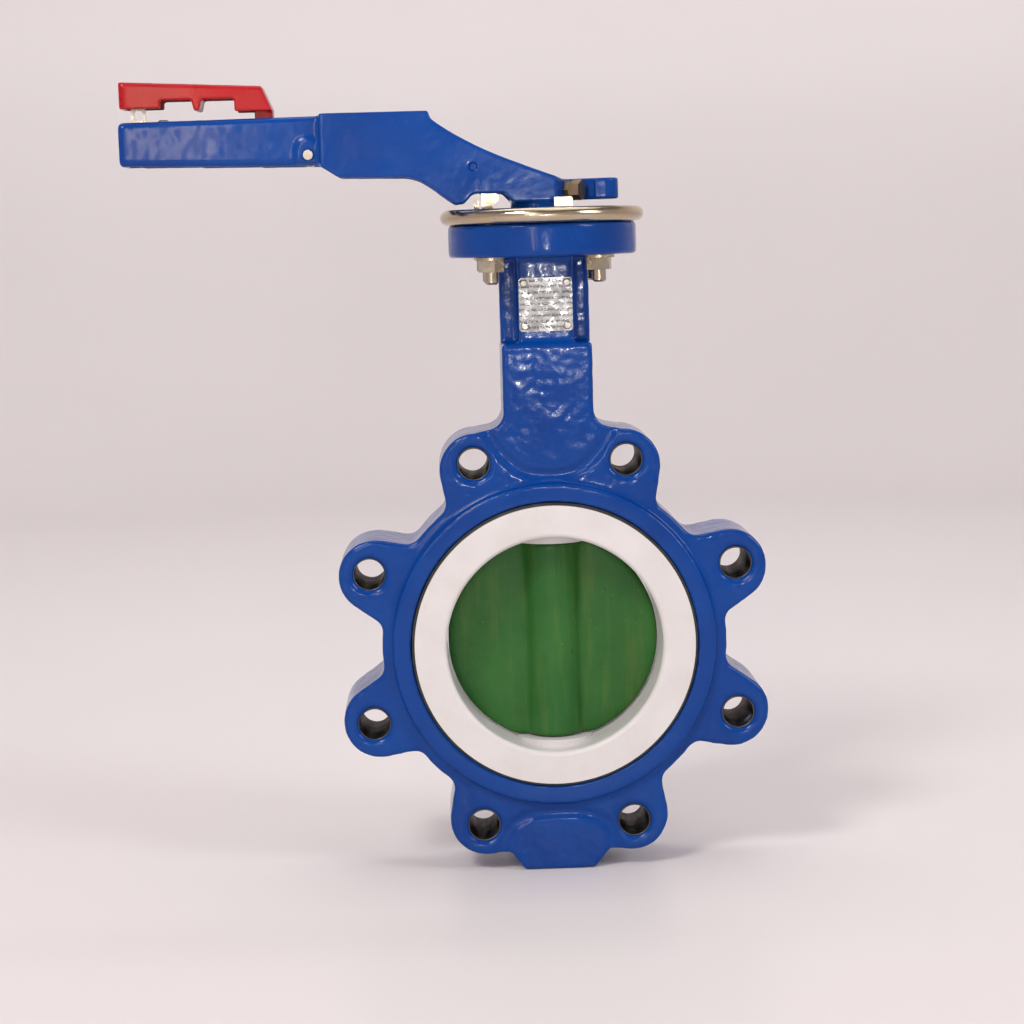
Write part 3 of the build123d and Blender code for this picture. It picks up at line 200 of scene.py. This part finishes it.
def disc_coating(name):
    """Green coating with faint yellowish vertical streaks down the disc, painted in as the reflection of a warm
    light.
    """
    n = Nodes(name)
    stretch = n.add("ShaderNodeMapping", Vector=n.coord)
    stretch.inputs["Scale"].default_value = (1.0, 1.0, 0.09)
    # Painted reflection: stretched yellowish streaks stand in for a warm light reflected down the coating
    warm_reflection_streaks = n.ramp(n.noise(170.0, 5.0, 0.62, vector=stretch.outputs["Vector"]), 0.50, 0.74)
    cloud = n.ramp(n.noise(34.0, 5.0, 0.6), 0.36, 0.7)
    color = n.mix(cloud, (0.020, 0.105, 0.020), (0.034, 0.140, 0.028))
    color = n.mix(n.math("MULTIPLY", warm_reflection_streaks, 0.35), color, (0.13, 0.19, 0.035))
    speck = n.ramp(n.noise(700.0, 2.0), 0.70, 0.78)
    color = n.mix(n.math("MULTIPLY", speck, 0.4), color, (0.25, 0.28, 0.18))
    n.set(Base_Color=color, Metallic=0.0, IOR=1.46, Coat_Weight=0.08, Coat_Roughness=0.12, Specular_IOR_Level=0.22)
    n.set(Roughness=n.ramp(n.noise(80.0, 4.0), 0.3, 0.7, 0.26, 0.42))
    n.bump((n.noise(230.0, 4.0), 0.0004, 0.3), (n.noise(1100.0, 2.0), 0.00006, 0.3))
    return n.mat


def stamped_tag(name):
    """Brushed stainless label with rows of meaningless dents where a real label carries its data."""
    n = Nodes(name)
    parts = n.add("ShaderNodeSeparateXYZ", Vector=n.coord)
    rows = n.math("SINE", n.math("MULTIPLY", parts.outputs["Z"], 2.0 * math.pi / (2.6 * MM)))
    strokes = n.ramp(n.noise(1500.0, 1.0, 0.4), 0.50, 0.56)
    dents = n.math("MULTIPLY", n.ramp(rows, 0.15, 0.45), strokes)
    cloud = n.ramp(n.noise(160.0, 4.0), 0.35, 0.68)
    color = n.mix(cloud, (0.20, 0.20, 0.205), (0.29, 0.285, 0.28))
    color = n.mix(n.math("MULTIPLY", dents, 0.7), color, (0.05, 0.05, 0.055))
    n.set(Base_Color=color, Metallic=1.0, Roughness=n.ramp(n.noise(420.0, 4.0), 0.3, 0.7, 0.22, 0.40))
    n.bump((n.math("SUBTRACT", 1.0, dents), 0.00015, 0.6), (n.noise(90.0, 3.0), 0.0006, 0.35))
    return n.mat


def rubber(name):
    """Black elastomer with a dull, slightly cloudy skin."""
    n = Nodes(name)
    cloud = n.ramp(n.noise(120.0, 4.0), 0.35, 0.7)
    n.set(Base_Color=n.mix(cloud, (0.012, 0.012, 0.014), (0.035, 0.034, 0.036)), IOR=1.45)
    n.set(Roughness=n.ramp(n.noise(300.0, 3.0), 0.3, 0.7, 0.45, 0.7))
    n.bump((n.noise(800.0, 3.0), 0.0001, 0.4))
    return n.mat


def bronze(name):
    """Cast bronze of the stem bushes."""
    n = Nodes(name)
    cloud = n.ramp(n.noise(90.0, 4.0), 0.35, 0.7)
    n.set(Base_Color=n.mix(cloud, (0.50, 0.33, 0.14), (0.62, 0.45, 0.22)), Metallic=1.0)
    n.set(Roughness=n.ramp(n.noise(200.0, 3.0), 0.3, 0.7, 0.25, 0.45))
    n.bump((n.noise(600.0, 3.0), 0.0001, 0.3))
    return n.mat


# Enamels are given as their usual colour, the deeper colour of thick patches and the pale colour of worn edges
BLUE = enamel("blue_enamel", (0.001, 0.050, 0.270), (0.001, 0.036, 0.215), (0.03, 0.13, 0.38),
              cast=1.3, rough=0.15)
LEVER_BLUE = enamel("blue_lever", (0.001, 0.054, 0.290), (0.001, 0.040, 0.235), (0.03, 0.14, 0.40),
                    cast=0.6, rough=0.17)
RED = enamel("red_trigger", (0.46, 0.006, 0.014), (0.36, 0.004, 0.010), (0.55, 0.08, 0.07),
             cast=0.5, rough=0.26)
WHITE = liner_plastic("white_seat")
GREEN = disc_coating("green_disc")
RUBBER = rubber("black_elastomer")
BRONZE = bronze("bronze_bush")
ZINC = plated("zinc_plate", (0.47, 0.41, 0.33), (0.55, 0.43, 0.27), rough=0.13)
ZINC_FASTENER = plated("zinc_fasteners", (0.40, 0.37, 0.31), (0.50, 0.41, 0.29), rough=0.20)
YELLOW_ZINC = plated("brass_tone_screw", (0.30, 0.22, 0.13), (0.42, 0.33, 0.20), rough=0.26)
STEEL = plated("plain_steel", (0.52, 0.52, 0.53), (0.62, 0.61, 0.60), rough=0.28)
TAG = stamped_tag("stamped_tag")
THREAD = plated("tapped_thread", (0.075, 0.070, 0.068), (0.13, 0.115, 0.10), rough=0.36)
STAINLESS = plated("stainless_tag", (0.36, 0.35, 0.35), (0.46, 0.44, 0.42), rough=0.28)

FINISH = {
    BLUE: ["body"],
    LEVER_BLUE: ["lever", "stop_pin"],
    RED: ["trigger"],
    WHITE: ["liner"],
    GREEN: ["disc"],
    RUBBER: ["liner_backing", "stem_o_rings", "plug_seal"],
    BRONZE: ["upper_bush", "lower_bush", "gland_bush"],
    ZINC: ["notch_plate", "thrust_washer", "latch_arm", "pawl"],
    ZINC_FASTENER: ["plate_bolts", "plate_nuts", "plate_washers"],
    YELLOW_ZINC: ["clamp_screw", "clamp_nut"],
    STEEL: ["bottom_plug", "stem_circlip", "latch_spring", "grip_rivet", "pawl_rivet"],
    TAG: ["tag_plate"],
    STAINLESS: ["tag_rivets", "upper_stem", "lower_stem", "latch_pivot", "padlock_eye", "eye_rivet"],
}
for material, names in FINISH.items():
    for node_name in names:
        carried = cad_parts[node_name]
        carried.data.materials.clear()
        carried.data.materials.append(material)


# ---------------------------------------------------------- cast and moulded skins

# The body's raised face is machined smooth out to this radius, and its top flange from this height up
SMOOTH_RADIUS = 73.5 * MM
ROUGH_FADE = 6.0 * MM
LUMP_SIZE = 12.0 * MM
GRAIN_SIZE = 3.6 * MM
FLANGE_FLOOR = 175.2 * MM

BOLT_CIRCLE = 180.0 * MM
LUG_COUNT = 8
THREAD_PITCH = 2.0 * MM
THREAD_CREST = 6.75 * MM
THREAD_ROOT = 7.15 * MM
THREAD_SHELL = 7.6 * MM
THREAD_HALF_LENGTH = 19.6 * MM


def smooth_noise(place, size, seed):
    """A smooth offset between -1 and 1 that changes over about the given length."""
    return noise.noise(Vector(place) / size + Vector((seed, 2.0 * seed, -seed)))


def soft_copy(name, body, material, voxel, rounds, lump, seed, grain=0.0, ceiling=1.0):
    """A cast skin for one node: its solid remeshed, its edges worn round and its faces made slightly uneven."""
    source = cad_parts[name]
    piece = bpy.data.objects.new(f"{name}_skin", source.data.copy())
    piece.matrix_world = source.matrix_world.copy()
    bpy.context.scene.collection.objects.link(piece)
    remesh = piece.modifiers.new("remesh", "REMESH")
    remesh.mode = "VOXEL"
    remesh.voxel_size = voxel * 1.0
    smooth = piece.modifiers.new("soften", "SMOOTH")
    smooth.factor = 0.5
    smooth.iterations = max(1, rounds // (1))
    bpy.context.view_layer.update()
    mesh = bpy.data.meshes.new_from_object(piece.evaluated_get(bpy.context.evaluated_depsgraph_get()))
    piece.modifiers.clear()
    piece.data = mesh
    normals = [vertex.normal.copy() for vertex in mesh.vertices]
    low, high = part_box(name)
    for vertex, normal in zip(mesh.vertices, normals):
        beyond = (math.hypot(vertex.co.x, vertex.co.z) - SMOOTH_RADIUS) / ROUGH_FADE
        rough_cast = min(1.0, max(0.0, beyond))
        rough_cast *= vertex.co.z < ceiling
        fine = grain * rough_cast * (smooth_noise(vertex.co, GRAIN_SIZE, seed + 1.0) - 0.4)
        moved = vertex.co + normal * (lump * (smooth_noise(vertex.co, LUMP_SIZE, seed) - 0.55) + fine)
        vertex.co = [min(max(value, low[axis]), high[axis]) for axis, value in enumerate(moved)]
    mesh.materials.clear()
    mesh.materials.append(material)
    for face in mesh.polygons:
        face.use_smooth = True
    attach(piece, body)
    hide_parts(name)
    return piece


def lug_threads():
    """Internal screw threads in the eight lugs, as closed sleeves with a helical ridge inside."""
    around = 36
    per_pitch = 6
    count = round(2.0 * THREAD_HALF_LENGTH / THREAD_PITCH * per_pitch)
    bm = bmesh.new()
    for lug in range(LUG_COUNT):
        angle = 2.0 * math.pi * (lug + 0.5) / LUG_COUNT
        cx = BOLT_CIRCLE / 2.0 * math.cos(angle)
        cz = BOLT_CIRCLE / 2.0 * math.sin(angle)

        def ring(y, radius_at):
            points = []
            for k in range(around):
                turn = k / around
                r = radius_at(turn)
                a = 2.0 * math.pi * turn
                points.append(bm.verts.new((cx + r * math.cos(a), y, cz + r * math.sin(a))))
            return points

        rings = [ring(-THREAD_HALF_LENGTH, lambda turn: THREAD_SHELL)]
        for step in range(count + 1):
            y = -THREAD_HALF_LENGTH + 2.0 * THREAD_HALF_LENGTH * step / count
            phase = y / THREAD_PITCH
            rings.append(ring(y, lambda turn: THREAD_CREST + (THREAD_ROOT - THREAD_CREST)
                              * abs(2.0 * ((phase + turn) % 1.0) - 1.0)))
        rings.append(ring(THREAD_HALF_LENGTH, lambda turn: THREAD_SHELL))
        rings.append(rings[0])
        for near, far in zip(rings, rings[1:]):
            for k in range(around):
                bm.faces.new((near[k], near[(k + 1) % around], far[(k + 1) % around], far[k]))
    bmesh.ops.recalc_face_normals(bm, faces=bm.faces)
    mesh = bpy.data.meshes.new("lug_threads")
    bm.to_mesh(mesh)
    bm.free()
    for face in mesh.polygons:
        face.use_smooth = True
    piece = bpy.data.objects.new("lug_threads", mesh)
    bpy.context.scene.collection.objects.link(piece)
    mesh.materials.append(THREAD)
    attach(piece, "valve")


def latch_coil():
    """The latch's return spring with ground end coils, seated in the lever."""
    low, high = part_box("latch_spring")
    wire = 0.5 * MM
    turns = 6.0
    centre_x = (low[0] + high[0]) / 2.0
    radius = (high[0] - low[0]) / 2.0 - wire
    bottom = low[2] + wire
    rise = high[2] - wire - bottom
    around = 10
    steps = round(turns * 32)
    bm = bmesh.new()
    rings = []
    for step in range(steps + 1):
        share = step / steps
        angle = 2.0 * math.pi * turns * share
        eased = min(1.0, max(0.0, (share * turns - 0.75) / (turns - 1.5)))
        middle = Vector((centre_x + radius * math.cos(angle), radius * math.sin(angle), bottom + rise * eased))
        outward = Vector((math.cos(angle), math.sin(angle), 0.0))
        rings.append([bm.verts.new(middle + wire * (outward * math.cos(a) + Vector((0.0, 0.0, math.sin(a)))))
                      for a in (2.0 * math.pi * k / around for k in range(around))])
    for near, far in zip(rings, rings[1:]):
        for k in range(around):
            bm.faces.new((near[k], near[(k + 1) % around], far[(k + 1) % around], far[k]))
    bm.faces.new(rings[0])
    bm.faces.new(rings[-1])
    bmesh.ops.recalc_face_normals(bm, faces=bm.faces)
    mesh = bpy.data.meshes.new("latch_coil")
    bm.to_mesh(mesh)
    bm.free()
    mesh.materials.append(STEEL)
    for face in mesh.polygons:
        face.use_smooth = True
    piece = bpy.data.objects.new("latch_coil", mesh)
    bpy.context.scene.collection.objects.link(piece)
    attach(piece, "lever")
    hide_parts("latch_spring")
    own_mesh(piece)


lug_threads()
latch_coil()
soft_copy("body", "valve", BLUE, 0.9 * MM, 8, 0.16 * MM, 3.0, grain=0.13 * MM,
          ceiling=FLANGE_FLOOR)
soft_copy("lever", "lever", LEVER_BLUE, 0.6 * MM, 12, 0.08 * MM, 7.0, grain=0.04 * MM)
soft_copy("trigger", "trigger", RED, 0.45 * MM, 14, 0.06 * MM, 11.0)
soft_copy("disc", "lever", GREEN, 0.8 * MM, 40, 0.03 * MM, 13.0)


# ------------------------------------------------------------------- the stage

FLOOR_Z = cad_box[0][2]
FLOOR_RADIUS = 1.5
SWEEP_RADIUS = 0.7
SWEEP_STEPS = 12
WALL_HEIGHT = 1.9
STAGE_SIDES = 96
WORLD_COLOR = (0.88, 0.84, 0.86, 1.0)
WORLD_STRENGTH = 0.26


def plain_material(name, color, rough):
    """The studio's paper: one colour that drifts very slightly."""
    n = Nodes(name)
    cloud = n.ramp(n.noise(1.2, 3.0), 0.3, 0.7)
    n.set(Base_Color=n.mix(cloud, color, tuple(c * 0.96 for c in color)), Roughness=rough, IOR=1.45)
    return n.mat


def make_stage():
    """A pale round floor that sweeps up into a wall far outside the views."""
    mesh = bpy.data.meshes.new("studio_floor")
    bm = bmesh.new()
    profile = [(0.02, 0.0), (0.6, 0.0), (FLOOR_RADIUS, 0.0)]
    for step in range(1, SWEEP_STEPS + 1):
        a = math.radians(90 * step / SWEEP_STEPS)
        profile.append((FLOOR_RADIUS + SWEEP_RADIUS * math.sin(a), SWEEP_RADIUS * (1 - math.cos(a))))
    profile.append((FLOOR_RADIUS + SWEEP_RADIUS, WALL_HEIGHT))
    turns = [2 * math.pi * k / STAGE_SIDES for k in range(STAGE_SIDES)]
    rings = [[bm.verts.new((r * math.cos(a), r * math.sin(a), FLOOR_Z + h)) for a in turns] for r, h in profile]
    bm.faces.new(rings[0])
    for inner, outer in zip(rings, rings[1:]):
        for k in range(STAGE_SIDES):
            following = (k + 1) % STAGE_SIDES
            bm.faces.new((inner[k], outer[k], outer[following], inner[following]))
    bm.to_mesh(mesh)
    bm.free()
    for face in mesh.polygons:
        face.use_smooth = True
    floor = bpy.data.objects.new("studio_floor", mesh)
    bpy.context.scene.collection.objects.link(floor)
    floor.data.materials.append(plain_material("studio_paper", (0.78, 0.735, 0.735), 0.40))


def area_light(name, place, target, size, power, color):
    """A rectangular lamp at a place, turned to face its target."""
    data = bpy.data.lights.new(name, "AREA")
    data.shape = "RECTANGLE"
    data.size, data.size_y = size
    data.energy = power
    data.color = color
    lamp = bpy.data.objects.new(name, data)
    lamp.location = place
    lamp.rotation_euler = (Vector(target) - Vector(place)).to_track_quat("-Z", "Y").to_euler()
    bpy.context.scene.collection.objects.link(lamp)
    return lamp


def make_lights():
    """Soft lamps from the front left, the right and above, a wash for the wall behind and a small camera flash."""
    middle = (0.0, 0.0, 0.06)
    area_light("window_key", (-0.9, -1.3, 1.5), middle, (0.5, 0.5), 22.0, (1.0, 0.97, 0.95))
    area_light("side_fill", (1.3, -0.9, 0.9), middle, (0.4, 0.6), 9.0, (0.97, 0.97, 1.0))
    area_light("top_soft", (0.1, 0.1, 1.6), middle, (1.4, 1.1), 6.5, (1.0, 0.98, 0.97))
    area_light("warm_strip", (-0.30, -1.25, 0.45), middle, (0.05, 0.7), 2.2, (1.0, 0.86, 0.62))
    area_light("wall_wash", (0.0, 0.45, 1.5), (0.0, 2.1, 0.5), (1.6, 0.5), 11.0, (1.0, 0.97, 1.0))
    area_light("flash", (0.07, -1.12, 0.16), middle, (0.012, 0.012), 0.9, (1.0, 0.98, 0.96))
    world = bpy.data.worlds.new("studio")
    world.use_nodes = True
    background = world.node_tree.nodes["Background"]
    background.inputs["Color"].default_value = WORLD_COLOR
    background.inputs["Strength"].default_value = WORLD_STRENGTH
    bpy.context.scene.world = world
    bpy.context.scene.view_settings.view_transform = "Standard"


def make_camera():
    """The camera that the photograph's fitted view gives, in the row frame."""
    data = bpy.data.cameras.new("camera")
    data.sensor_width = 36.0
    data.lens = 83.3
    camera = bpy.data.objects.new("camera", data)
    bpy.context.scene.collection.objects.link(camera)
    camera.location = (-0.04665, -1.08274, 0.18468)
    camera.rotation_euler = [math.radians(a) for a in (83.351, 1.642, -1.748)]
    bpy.context.scene.camera = camera


make_stage()
make_lights()
make_camera()
